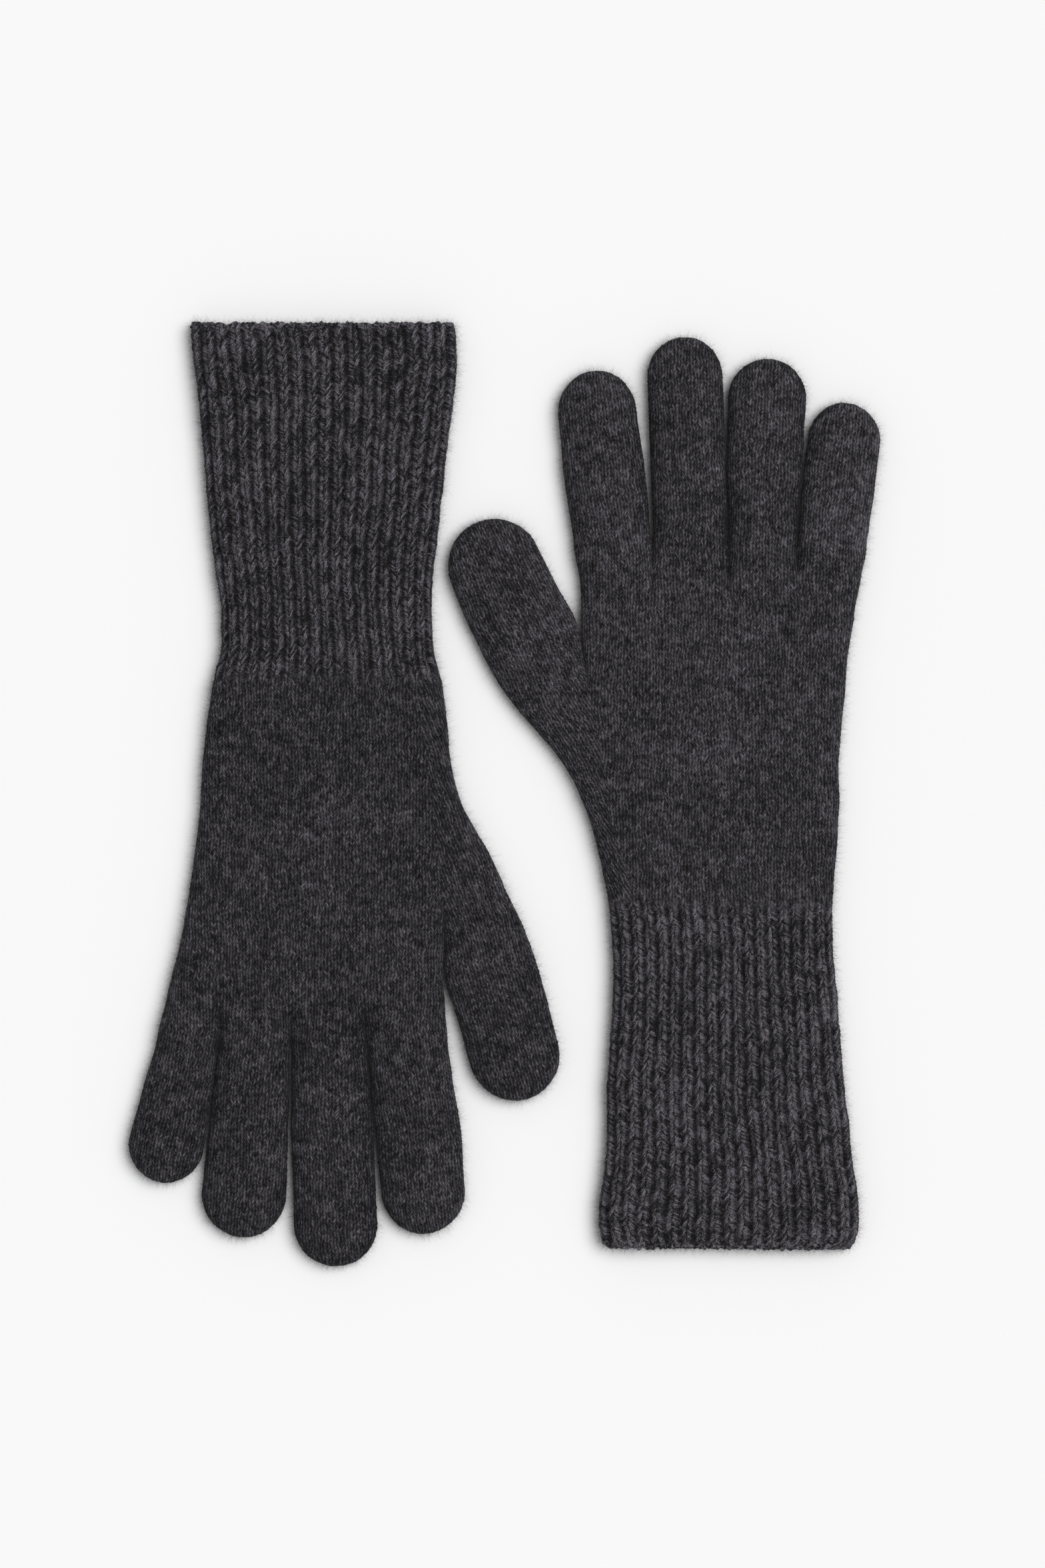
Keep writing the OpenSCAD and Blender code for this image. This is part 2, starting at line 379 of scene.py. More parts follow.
# --- Knitted surface of one glove ---
class Cloth:
    """Collects grids of knitting, with the piece of each face, and welds them into one surface."""

    def __init__(self, glove):
        self.glove = glove
        self.grids = []
        self.names = []
        self.count = 0

    def label(self, name):
        if name not in self.names:
            self.names.append(name)
        return self.names.index(name)

    def add(self, points, wale, course, relief, kind, pieces, cell, upper):
        """Adds a grid. kind is its share of rib, its share of hem and a change in tone. pieces
        names the piece of each row of faces, or None for rows that only shape the shading at a
        cut. cell(piece) is the grid's place in that piece's bake layout."""
        r, c = points.shape[:2]
        index = self.count + np.arange(r * c).reshape(r, c)
        self.count += r * c
        quads = np.stack([index[:-1, :-1], index[:-1, 1:], index[1:, 1:], index[1:, :-1]], axis=-1)
        ids = np.array([-1 if p is None else self.label(p) for p in pieces])
        self.grids.append({
            "points": points.reshape(-1, 3),
            "knit": np.stack([wale, course], axis=-1).reshape(-1, 2),
            "relief": relief.ravel(),
            "kind": np.stack([np.broadcast_to(k, wale.shape) for k in kind], -1).reshape(-1, 3),
            "corners": quads.reshape(-1, 4),
            "flip": np.full((r - 1) * (c - 1), not upper),
            "labels": np.repeat(ids, c - 1),
            "cells": bake_cells(ids, c - 1, [cell(p) for p in pieces]),
        })

    def finish(self):
        """Welds, shapes the stitches, and returns the surface as arrays."""
        every = {name: np.concatenate([g[name] for g in self.grids]) for name in self.grids[0]}
        key = np.round(every["points"] * WELD_GRID).astype(np.int64)
        _, first, weld = np.unique(key, axis=0, return_index=True, return_inverse=True)
        weld = weld.reshape(-1)
        times = np.bincount(weld)
        relief = np.bincount(weld, every["relief"]) / times
        kind = np.stack([np.bincount(weld, k) for k in every["kind"].T], axis=1) / times[:, None]
        for name in ("corners", "cells"):
            every[name][every["flip"]] = every[name][every["flip"], ::-1]
        faces = weld[every["corners"]]
        base = loosen(every["points"][first], self.glove)
        shaped = base + vertex_normals(base, faces) * relief[:, None]
        return {
            "points": shaped,
            "normals": vertex_normals(shaped, faces),
            "kind": kind,
            "faces": faces,
            "labels": every["labels"],
            "knit": every["knit"][every["corners"]],
            "cells": every["cells"],
            "names": self.names,
        }


def bake_cells(ids, columns, spans):
    """Bake coordinates for a grid's faces: each piece's rows fill its own span of the width."""
    low = np.zeros(len(ids))
    high = np.zeros(len(ids))
    for i in set(ids.tolist()):
        found = np.flatnonzero(ids == i)
        run = np.arange(len(ids)) - found[0]
        total = found[-1] - found[0] + 1
        low[found] = BAKE_EDGE + (1 - 2 * BAKE_EDGE) * run[found] / total
        high[found] = BAKE_EDGE + (1 - 2 * BAKE_EDGE) * (run[found] + 1) / total
    u0, u1 = np.array(spans, float).T
    share = np.arange(columns) / columns
    left = u0[:, None] + (u1 - u0)[:, None] * share
    right = left + ((u1 - u0) / columns)[:, None]
    low = np.broadcast_to(low[:, None], left.shape)
    high = np.broadcast_to(high[:, None], left.shape)
    corners = [(left, low), (right, low), (right, high), (left, high)]
    return np.stack([np.stack(c, axis=-1) for c in corners], axis=2).reshape(-1, 4, 2)


def vertex_normals(points, faces):
    """Unit normals at the points of a surface of four-cornered faces."""
    across = points[faces[:, 2]] - points[faces[:, 0]]
    other = points[faces[:, 3]] - points[faces[:, 1]]
    flat = np.cross(across, other)
    total = np.zeros_like(points)
    for corner in range(4):
        for axis in range(3):
            total[:, axis] += np.bincount(faces[:, corner], flat[:, axis], minlength=len(points))
    return total / np.maximum(np.linalg.norm(total, axis=1, keepdims=True), 1e-12)


def loosen(points, glove):
    """The slight unevenness of soft knitting: wandering edges, shallow swells and the nick."""
    x, y, z = points.T
    seed = glove.seed
    loose = points.copy()
    loose[:, 0] += sum(drift(x, y, SIDEWAYS_DRIFT, seed))
    loose[:, 1] += sum(drift(x, y, LENGTHWAYS_DRIFT, seed))
    swell = sum(drift(x, y, SWELLS, seed)) - SWELL_SINK
    loose[:, 2] = z * (1 + np.where(z > RIM, swell, 0) * ease(z, RIM, CROWN))
    if glove.nick:
        place, width, depth = glove.nick
        dip = depth * np.exp(-(((x - place) / width) ** 2))
        loose[:, 1] += dip * (1 - ease(y, 0, 3 * depth))
    return loose


def knit_coordinates(wale, course, points, seed):
    """Wale and course with the drift and the small unevenness of real columns and rows."""
    x, y = points[..., 0], points[..., 1]
    for part in drift(x, y, WALE_DRIFT, seed):
        wale = wale + part
    for part in drift(x, y, COURSE_DRIFT, seed):
        course = course + part
    return wale, course


# --- Cuff ---
def cuff_rows(glove, y, inset=0.0):
    """Cross-sections of the cuff at each y. inset is how far inside the outer surface they lie."""
    inset = np.broadcast_to(inset, np.shape(y))
    left = np.stack([curve(glove.thumb_side, y) + inset, y], axis=1)
    right = np.stack([curve(glove.little_side, y) - inset, y], axis=1)
    return Rows(left, right, inset=inset)


def cuff_wale(rows, across, excess):
    """Wale across a cuff, counted from its middle. All of its wales run from end to end."""
    run = across - rows.widths() / 2 + excess
    whole = run[:, -1:] - run[:, :1]
    return (run - (run[:, :1] + run[:, -1:]) / 2) / whole * CUFF_WALES


def add_cuff(cloth):
    """The cuff as one band, which comes down its inside from the fold line, rolls over the open
    edge and goes up its outside to the wrist."""
    glove = cloth.glove
    lip = WALL / 2
    names = [glove.side + end for end in ("_hem", "_cuff_lower", "_cuff_upper")]
    outside = np.concatenate([
        steps(lip, glove.hem, ROW)[:-1],
        steps(glove.hem, glove.turn_line, ROW)[:-1],
        steps(glove.turn_line, glove.wrist, ROW),
        glove.wrist + ROW * np.arange(1, GHOST_ROWS + 1),
    ])
    inside = np.concatenate([
        steps(glove.turn_line, glove.hem, INSIDE_ROW)[:-1],
        steps(glove.hem, lip, INSIDE_ROW / 2)[:-1],
    ])
    turn = np.linspace(np.pi, 0, 9)
    y = np.concatenate([inside, lip - lip * np.sin(turn[:-1]), outside])
    rolled = lip * (1 - np.cos(turn[:-1]))
    inset = np.concatenate([np.full(len(inside), WALL), rolled, np.zeros(len(outside))])
    rows = cuff_rows(glove, y, inset)
    ends = (glove.hem, glove.turn_line, glove.wrist)
    section = np.searchsorted(ends, (y[:-1] + y[1:]) / 2)
    pieces = [(names + [None])[k] for k in section]
    for upper, points, across, excess in layers(rows, CUFF_WALES * CUFF_STEPS):
        wale = cuff_wale(rows, across, excess)
        course = np.broadcast_to(((y - glove.wrist) / COURSE)[:, None], wale.shape)
        wale, course = knit_coordinates(wale, course, points, glove.seed)
        ribs = rib_relief(wale, course, glove.seed)
        plain = plain_relief(wale, course, glove.seed)
        hem = hem_relief(wale, course, glove.seed) + HEM_RIBS * ribs
        ribbed = 1 - ease(y, glove.wrist - RIB_FADE[0], glove.wrist + RIB_FADE[1])[:, None]
        hemmed = 1 - ease(y, *HEM_ROLL)[:, None]
        hemmed = np.maximum(hemmed, inset[:, None] > 0)
        relief = plain * (1 - ribbed) + ribs * ribbed
        relief = relief * (1 - hemmed) + hem * hemmed
        kind = (ribbed, hemmed, 0.0)
        cloth.add(points, wale, course, relief, kind, pieces, lambda piece: half_cell(upper), upper)


# --- Hand, fingers and thumb ---
def finger_rows(glove, finger):
    """Cross-sections from a finger's root to its tip, and the numbers of those at its joint."""
    edge_left, edge_right, ball_x, half = glove.fingers[finger]
    depth = TIP_DEPTH * half
    root = np.array([(edge_left + edge_right) / 2, glove.knuckles])
    tip_y = glove.tip_y(finger)
    lean = math.atan2(ball_x - root[0], tip_y - depth - root[1])
    along = np.array([math.sin(lean), math.cos(lean)])
    across = np.array([along[1], -along[0]])
    ball = np.array([ball_x, tip_y - depth * along[1]])
    joint_y = glove.place(finger + "_bend")[1]
    near = steps(glove.knuckles, joint_y, ROW)
    far = steps(joint_y, ball[1], ROW)[1:]
    v = ((np.concatenate([near, far]) - root[1]) / (ball[1] - root[1]))[:, None]
    gap = FINGER_GAP * ease(v, 0, GAP_OPENS)
    bulge = FINGER_BULGE * np.sin(np.pi * v)
    shank_left = np.array([edge_left, root[1]]) * (1 - v) + (ball - half * across) * v
    shank_right = np.array([edge_right, root[1]]) * (1 - v) + (ball + half * across) * v
    shank_left = shank_left + (gap - bulge) * across
    shank_right = shank_right - (gap - bulge) * across
    rounding = FINGER_ROUND * np.linalg.norm(shank_right - shank_left, axis=1) / 2
    shank = Rows(shank_left, shank_right, side=rounding)
    return shank.join(tip_rows(ball, along, across, half - FINGER_GAP, depth, rounding[-1])), len(near) - 1


def tip_rows(ball, along, across, half, depth, rounding):
    """Cross-sections of a rounded end, from the ball of the finger or thumb to its very tip."""
    a = np.linspace(0, np.pi / 2, round(1.5 * depth / ROW) + 1)[:, None]
    middle = ball + depth * np.sin(a) * along
    reach = half * np.cos(a) * across
    height = np.sqrt(np.maximum(np.cos(a[:, 0]), 0)) ** 1.15
    side = np.maximum(rounding * np.cos(a[:, 0]), 1e-3)
    return Rows(middle - reach, middle + reach, side=side, height=height)


def thumb_rows(glove):
    """Cross-sections from the thumb's root fold to its tip."""
    joint = math.dist(glove.place("thumb_bend"), glove.thumb_root)
    ball_at = glove.thumb[-1][0]
    s = np.concatenate([steps(0, joint, ROW), steps(joint, ball_at, ROW)[1:]])
    outer = curve([(e[0], e[1]) for e in glove.thumb], s)[:, None]
    inner = curve([(e[0], e[2]) for e in glove.thumb], s)[:, None]
    line = glove.thumb_root + s[:, None] * glove.thumb_along
    left = line + outer * glove.thumb_across
    right = line + inner * glove.thumb_across
    rounding = FINGER_ROUND * np.linalg.norm(right - left, axis=1) / 2
    shank = Rows(left, right, side=rounding)
    turn = math.radians(glove.thumb_turn)
    along = glove.thumb_along * math.cos(turn) - glove.thumb_across * math.sin(turn)
    across = glove.thumb_across * math.cos(turn) + glove.thumb_along * math.sin(turn)
    half = (glove.thumb[-1][2] - glove.thumb[-1][1]) / 2
    ball = (left[-1] + right[-1]) / 2
    end = tip_rows(ball, along, across, half, THUMB_END_DEPTH, rounding[-1])
    # the last sections of the shank turn with the end
    twist = ease(s, ball_at - THUMB_SETTLE, ball_at)[:, None] * turn
    centre = shank.centres()
    reach = (shank.right - shank.left) / 2
    turned = reach * np.cos(twist) + np.stack([-reach[:, 1], reach[:, 0]], axis=1) * np.sin(twist)
    shank.left, shank.right = centre - turned, centre + turned
    return shank.join(end), round(joint / ROW)


def hand_row_positions(glove):
    """Places of the hand's rows: some before the wrist for the shading, then two even runs that
    meet at the fork of the thumb. Also the number of rows up to the fork."""
    before = glove.wrist - ROW * np.arange(GHOST_ROWS, 0, -1)
    lower = steps(glove.wrist, glove.fork[1], ROW)
    upper = steps(glove.fork[1], glove.knuckles, ROW)
    return np.concatenate([before, lower, upper[1:]]), GHOST_ROWS + len(lower)


def half_cell(upper):
    """The half of a piece's bake layout that its upper or its under side takes."""
    return (BAKE_EDGE, 0.5 - BAKE_EDGE) if upper else (0.5 + BAKE_EDGE, 1 - BAKE_EDGE)


def band_pieces(glove, finger, hand, shank, joint):
    """The piece of each row of faces in a band that runs from the wrist to a tip."""
    return (
        [None] * GHOST_ROWS
        + [glove.side + "_hand"] * (len(hand.left) - 1 - GHOST_ROWS)
        + [f"{glove.side}_{finger}_base"] * joint
        + [f"{glove.side}_{finger}_tip"] * (len(shank.left) - 1 - joint)
    )


def add_finger(cloth, finger, y, slot):
    """A finger with the strip of the hand below it, as one band of knitting."""
    glove = cloth.glove
    edge_left, edge_right = glove.fingers[finger][:2]
    x_left = np.full(len(y), float(edge_left))
    x_right = np.full(len(y), float(edge_right))
    fork = glove.fork[1]
    groove = ease(y, glove.knuckles - GROOVE_LEN, glove.knuckles) ** 0.8
    round_left, round_right = groove, groove
    if finger == "index":
        x_left = np.where(y < fork, curve(glove.gusset, y), curve(glove.palm_edge, y))
        round_left = ease(y, fork - GROOVE_LEN, fork)
    if finger == "little":
        x_right = curve(glove.little_side, y)
        round_right = np.ones(len(y))
    left = np.stack([x_left, y], axis=1)
    right = np.stack([x_right, y], axis=1)
    whole = FINGER_ROUND * (edge_right - edge_left) / 2
    side = SIDE_ROUND + (whole - SIDE_ROUND) * ease(y, glove.knuckles - 3 * GROOVE_LEN, glove.knuckles)
    hand = Rows(left, right, round_left, round_right, side=side)
    shank, joint = finger_rows(glove, finger)
    rows = hand.join(shank)
    root_x = (edge_left + edge_right) / 2
    pieces = band_pieces(glove, finger, hand, shank, joint)
    centres = rows.centres()
    centres[: len(y), 0] = root_x
    course = (path_length(centres) - GHOST_ROWS * ROW) / COURSE
    for upper, points, across, excess in layers(rows, BAND_COLUMNS):
        offset = across - rows.widths() / 2
        offset[: len(y)] = points[: len(y), :, 0] - root_x
        wale = (root_x - glove.middle + offset + excess) / glove.pitch
        grid = np.broadcast_to(course[:, None], wale.shape)
        # painted shade along the grooves between this finger and its neighbours
        tone = painted_groove_shade(rows, across, finger, len(y))
        if finger == glove.pale_finger:
            tone[len(y) :] += PALE_FINGER
        add_plain(cloth, points, wale, grid, tone, pieces, slot, upper)


def painted_groove_shade(rows, across, finger, hand_rows):
    """Painted shade: darkening painted towards the sides of a finger that touch its neighbours."""
    width = rows.widths()
    tone = np.zeros(across.shape)
    if finger != FINGERS[0]:
        tone -= rows.round_left[:, None] * np.exp(-across / GROOVE_WIDTH)
    if finger != FINGERS[-1]:
        tone -= rows.round_right[:, None] * np.exp(-(width - across) / GROOVE_WIDTH)
    fade = np.ones(len(across))
    fade[hand_rows:] = ease(width[hand_rows:, 0], 0, 0.9 * width[hand_rows, 0])
    return GROOVE_SHADE * tone * fade[:, None]


def add_thumb(cloth, y, slot):
    """The thumb with its gusset, as one band of knitting that leans away from the hand."""
    glove = cloth.glove
    outer_root = glove.thumb_root + glove.thumb[0][1] * glove.thumb_across
    # the outer ends of the rows lag behind, until the last row lies on the thumb's root fold
    turned = ease(y, glove.wrist + THUMB_TURN_FROM, glove.fork[1])
    lag = turned * (glove.fork[1] - outer_root[1])
    left = np.stack([curve(glove.thumb_side, y - lag), y - lag], axis=1)
    right = np.stack([curve(glove.gusset, y), y], axis=1)
    settle = ease(y, y[-1] - THUMB_SETTLE, y[-1])[:, None]
    left = left + (outer_root - left[-1]) * settle
    fork = glove.fork[1]
    whole = FINGER_ROUND * (glove.thumb[0][2] - glove.thumb[0][1]) / 2
    side = SIDE_ROUND + (whole - SIDE_ROUND) * ease(y, fork - 4 * GROOVE_LEN, fork)
    wedge = Rows(left, right, 1.0, ease(y, fork - GROOVE_LEN, fork), side=side)
    shank, joint = thumb_rows(glove)
    rows = wedge.join(shank)
    pieces = band_pieces(glove, "thumb", wedge, shank, joint)
    beyond = path_length(rows.centres()[len(y) - 1 :])
    for upper, points, across, excess in layers(rows, BAND_COLUMNS):
        flat = points[..., :2] - glove.thumb_root
        offset = flat @ glove.thumb_across
        distance = flat @ glove.thumb_along
        offset[len(y) :] = (across - rows.widths() / 2)[len(y) :]
        distance[len(y) :] = beyond[1:, None]
        wale = (offset + excess) / glove.pitch + 0.5
        tone = np.zeros(wale.shape)
        add_plain(cloth, points, wale, distance / COURSE, tone, pieces, slot, upper)


def add_plain(cloth, points, wale, course, tone, pieces, slot, upper):
    """Adds a band of plain knitting, ribbed where it starts at the wrist."""
    glove = cloth.glove
    wale, course = knit_coordinates(wale, course, points, glove.seed)
    plain = plain_relief(wale, course, glove.seed)
    ribbed = 1 - ease(points[..., 1], glove.wrist - RIB_FADE[0], glove.wrist + RIB_FADE[1])
    relief = plain * (1 - ribbed) + rib_relief(wale, course, glove.seed) * ribbed
    hand = glove.side + "_hand"
    hand_side = hand + ("_top" if upper else "_under")
    # each of the five bands takes its own strip of the hand's bake layout
    strip = 1 / (len(FINGERS) + 1)
    hand_cell = (slot * strip + BAKE_EDGE, (slot + 1) * strip - BAKE_EDGE)
    pieces = [hand_side if piece == hand else piece for piece in pieces]

    def cell(piece):
        return hand_cell if piece == hand_side else half_cell(upper)

    cloth.add(points, wale, course, relief, (ribbed, 0.0, tone), pieces, cell, upper)


def knit_glove(glove):
    """The whole glove as one welded surface."""
    cloth = Cloth(glove)
    add_cuff(cloth)
    y, fork_rows = hand_row_positions(glove)
    add_thumb(cloth, y[:fork_rows], 0)
    for slot, finger in enumerate(FINGERS):
        add_finger(cloth, finger, y, slot + 1)
    return cloth.finish()


# --- The two gloves ---
# outline: [y, x on the thumb side, x on the little finger's side]. palm_edge: [y, x] of the
# thumb side between the thumb's fork and the knuckles. gusset: [y, x] of the line along which
# the thumb's stitches leave those of the hand, up to the fork. thumb: its edges in the frame of
# its root fold, as [distance along it, edge on the outside, edge on the fingers' side] up to the
# ball of the thumb, and thumb_turn how far its rounded end is turned. fingers: x of both edges at
# the root, then x of the middle and half the width at the ball of the finger. tone: how much
# paler the whole glove is. nick: where the hem has a small nick, how wide and how deep.
LEFT = Glove(
    "left", -1,
    outline=[
        (0, -43.8, 44.3), (2.5, -44.5, 44.3), (8, -44.8, 43.9), (48, -40.9, 40), (78, -37.3, 37.1),
        (98, -36.1, 34.3), (110, -37, 34.4), (120, -39.4, 36.9), (134, -41.4, 39.1), (148, -42.6, 40.7),
        (162, -46.4, 41.5), (178, -55.4, 43.2), (196.5, -64.1, 45.8), (218, -71.6, 50.5), (238, -78, 55.6),
    ],
    palm_edge=[(224, -40.5), (238, -41.5)],
    gusset=[(120, -31.4), (152, -35.5), (178, -38.8)],
    thumb=[(0, -12.5, 12.5), (6, -12.8, 14.9), (15, -12.9, 17.5), (30, -11.9, 18.6), (46, -9.6, 20.3)],
    thumb_turn=-9,
    fingers={
        "index": (-41.5, -14, -33.7, 14.5),
        "middle": (-14, 11, -4.2, 14.5),
        "ring": (11, 35, 26.8, 14.5),
        "little": (35, 55.6, 52.9, 12.8),
    },
    pale_finger=None,
    tone=-0.03,
    nick=(32.6, 0.7, 2.2),
    seed=11,
)
RIGHT = Glove(
    "right", 1,
    outline=[
        (0, -41.4, 39.2), (1.2, -42.8, 41), (4, -43.8, 42.4), (10, -44.1, 42.7), (26, -42.4, 41.1),
        (51, -41.4, 38.2), (75, -39.8, 36.2), (98, -39.6, 34.7), (116, -41.2, 34.4), (132, -44, 35.2),
        (148, -48.3, 36), (162, -55.6, 36.4), (174, -65.2, 37.2), (181.75, -71.3, 37.8), (200, -83.4, 39.2),
        (217, -91.6, 41.7), (234, -98, 45.2),
    ],
    palm_edge=[(209.5, -50.3), (225, -50.7), (234, -52.5)],
    gusset=[(116, -32.3), (140, -39), (166, -43.5)],
    thumb=[(0, -13.8, 12.3), (6, -14.4, 14.2), (15, -14.8, 17), (30, -14.2, 17.9), (46, -12.5, 18.9)],
    thumb_turn=-6,
    fingers={
        "index": (-52.5, -26, -45, 13.7),
        "middle": (-26, -1, -15.1, 13),
        "ring": (-1, 22, 12.3, 13.3),
        "little": (22, 45.2, 38.3, 12.6),
    },
    pale_finger="little",
    tone=0.24,
    nick=None,
    seed=23,
)


# --- Materials ---
class Nodes:
    """Short calls that add shader nodes to a material and join them."""

    def __init__(self, name):
        self.material = bpy.data.materials.new(name)
        self.material.use_nodes = True
        self.tree = self.material.node_tree
        self.shader = self.tree.nodes["Principled BSDF"]

    def join(self, value, socket):
        if isinstance(value, bpy.types.NodeSocket):
            self.tree.links.new(value, socket)
        else:
            socket.default_value = value

    def feed(self, node, inputs):
        for name, value in dict(inputs).items():
            self.join(value, node.inputs[name])

    def add(self, kind, inputs=(), **settings):
        node = self.tree.nodes.new("ShaderNode" + kind)
        for name, value in settings.items():
            setattr(node, name, value)
        self.feed(node, inputs)
        return node

    def math(self, operation, a, b=0.0, c=0.0):
        node = self.add("Math", operation=operation)
        for socket, value in zip(node.inputs, (a, b, c)):
            self.join(value, socket)
        return node.outputs[0]

    def vector(self, x, y, z=0.0):
        return self.add("CombineXYZ", {"X": x, "Y": y, "Z": z}).outputs[0]

    def noise(self, vector, scale, detail=2.0, roughness=0.55):
        inputs = {"Vector": vector, "Scale": scale, "Detail": detail, "Roughness": roughness}
        return self.add("TexNoise", inputs).outputs["Fac"]

    def chance(self, x, y):
        """A random value for each pair of whole numbers."""
        vector = self.vector(x, y)
        return self.add("TexWhiteNoise", {"Vector": vector}, noise_dimensions="2D").outputs["Value"]

    def mix(self, share, a, b):
        node = self.add("Mix", data_type="RGBA")
        for name, value in (("Factor", share), ("A", a), ("B", b)):
            socket = next(s for s in node.inputs if s.name == name and s.enabled)
            self.join(value, socket)
        return next(s for s in node.outputs if s.enabled)

    def mix_value(self, share, a, b):
        return self.math("MULTIPLY_ADD", self.math("SUBTRACT", b, a), share, a)

    def centred(self, value):
        return self.math("SUBTRACT", value, 0.5)

    def shape(self, value, *points):
        """A value bent by a curve through (in, out) points."""
        node = self.add("ValToRGB", {"Fac": value})
        ramp = node.color_ramp
        while len(ramp.elements) < len(points):
            ramp.elements.new(0.5)
        for element, (position, level) in zip(ramp.elements, points):
            element.position = position
            element.color = (level, level, level, 1)
        return node.outputs["Color"]


YARN = (0.0705, 0.0665, 0.0762, 1)
FIBRE = (0.045, 0.043, 0.047, 1)
PALE_LIMIT = 0.36     # how soon the palest fibres stop getting paler
RIB_LIFT = 0.19       # how much paler the ribs and the hem are than the plain knitting
GAP_SHADE_LEVEL = -1.95     # painted shade: tone painted into the gaps between the stitches and the rib valleys, and how much paler a stitch's crest is painted than that
GAP_SHADE_CONTRAST = 2.8
RIB_SHADE_FLATTER = 0.2     # how much weaker that painted shade and light are on a rib
# strength of each random change in tone: (on plain knitting, what the ribs add to it)
STREAK = (4.0, 2.0)   # the fibres along a stitch
GLINT = (0.0, 6.5)    # painted glints: short pale highlights on the fibres of the ribs
FLECK = (5.5, -2.4)
CHANCE = (1.5, 1.3)   # from one strand of yarn to the next
MOTTLE = (3.6, -1.2)
CLOUD = (1.2, 0.0)
TONE_CONTRAST = 1.1   # strength of them all together
# how many of them there are, at most, in a millimetre
GLINT_SCALE = 1.9
FLECK_SCALE = 0.85
MOTTLE_SCALE = 0.24
CLOUD_SCALE = 0.06
PLAIN_FIBRES = 3.2    # how finely the fibres are broken up across a wale
RIB_FIBRES = 6.5
FIBRES_ALONG = 2.6    # the same along a strand
RIB_UNEVEN = 0.7      # how far, in courses, the stitches of a rib are pulled up and down
RIB_UNEVEN_SCALE = 0.7
BUMP_STREAK = 1.6     # how much the fibres and the flecks add to the bump
BUMP_FLECK = 1.2
BUMP_STRENGTH = 0.8
BUMP_HEIGHT = 0.2


def stitch_nodes(n, wale, course, wales_to_column, ridge, rises, strands, taper, across):
    """Plumpness, chance and fibres of V stitches. wales_to_column is how many wales lie from one
    column of V's to the next and ridge the share of that pitch that the column takes. rises and
    strands are how far a leg climbs and the strands it shows, on its left and its right half.
    across is how finely the fibres are broken up across a wale."""
    column = n.math("DIVIDE", n.math("ADD", wale, wales_to_column - 1.0), float(wales_to_column))
    aside = n.math("ABSOLUTE", n.centred(n.math("FRACT", column)))
    m = n.math("MINIMUM", n.math("MULTIPLY", aside, 2.0 / ridge), 1.0)
    right = n.math("GREATER_THAN", n.math("FRACT", column), 0.5)
    rise = n.mix_value(right, *rises)
    q = n.math("SUBTRACT", course, n.math("MULTIPLY", m, rise))
    q = n.math("MULTIPLY", q, n.mix_value(right, *strands))
    leg = n.math("FLOOR", n.math("MULTIPLY", column, 2.0))
    thread = n.math("ABSOLUTE", n.math("SINE", n.math("MULTIPLY", q, math.pi)))
    beside = n.math("ABSOLUTE", n.math("SUBTRACT", n.math("MULTIPLY", m, 2.0), 1.0))
    along = n.math("SUBTRACT", 1.0, n.math("POWER", beside, taper))
    # plump is the stitch's shape: it makes the bump and masks the painted shade in the gaps
    plump = n.math("MULTIPLY", along, n.math("MULTIPLY_ADD", thread, 0.9, 0.1))
    chance = n.chance(leg, n.math("FLOOR", q))
    fibres = n.vector(n.math("MULTIPLY", wale, across), n.math("MULTIPLY", q, FIBRES_ALONG), leg)
    streak = n.noise(fibres, 1.0, 2.0, 0.6)
    return plump, chance, streak


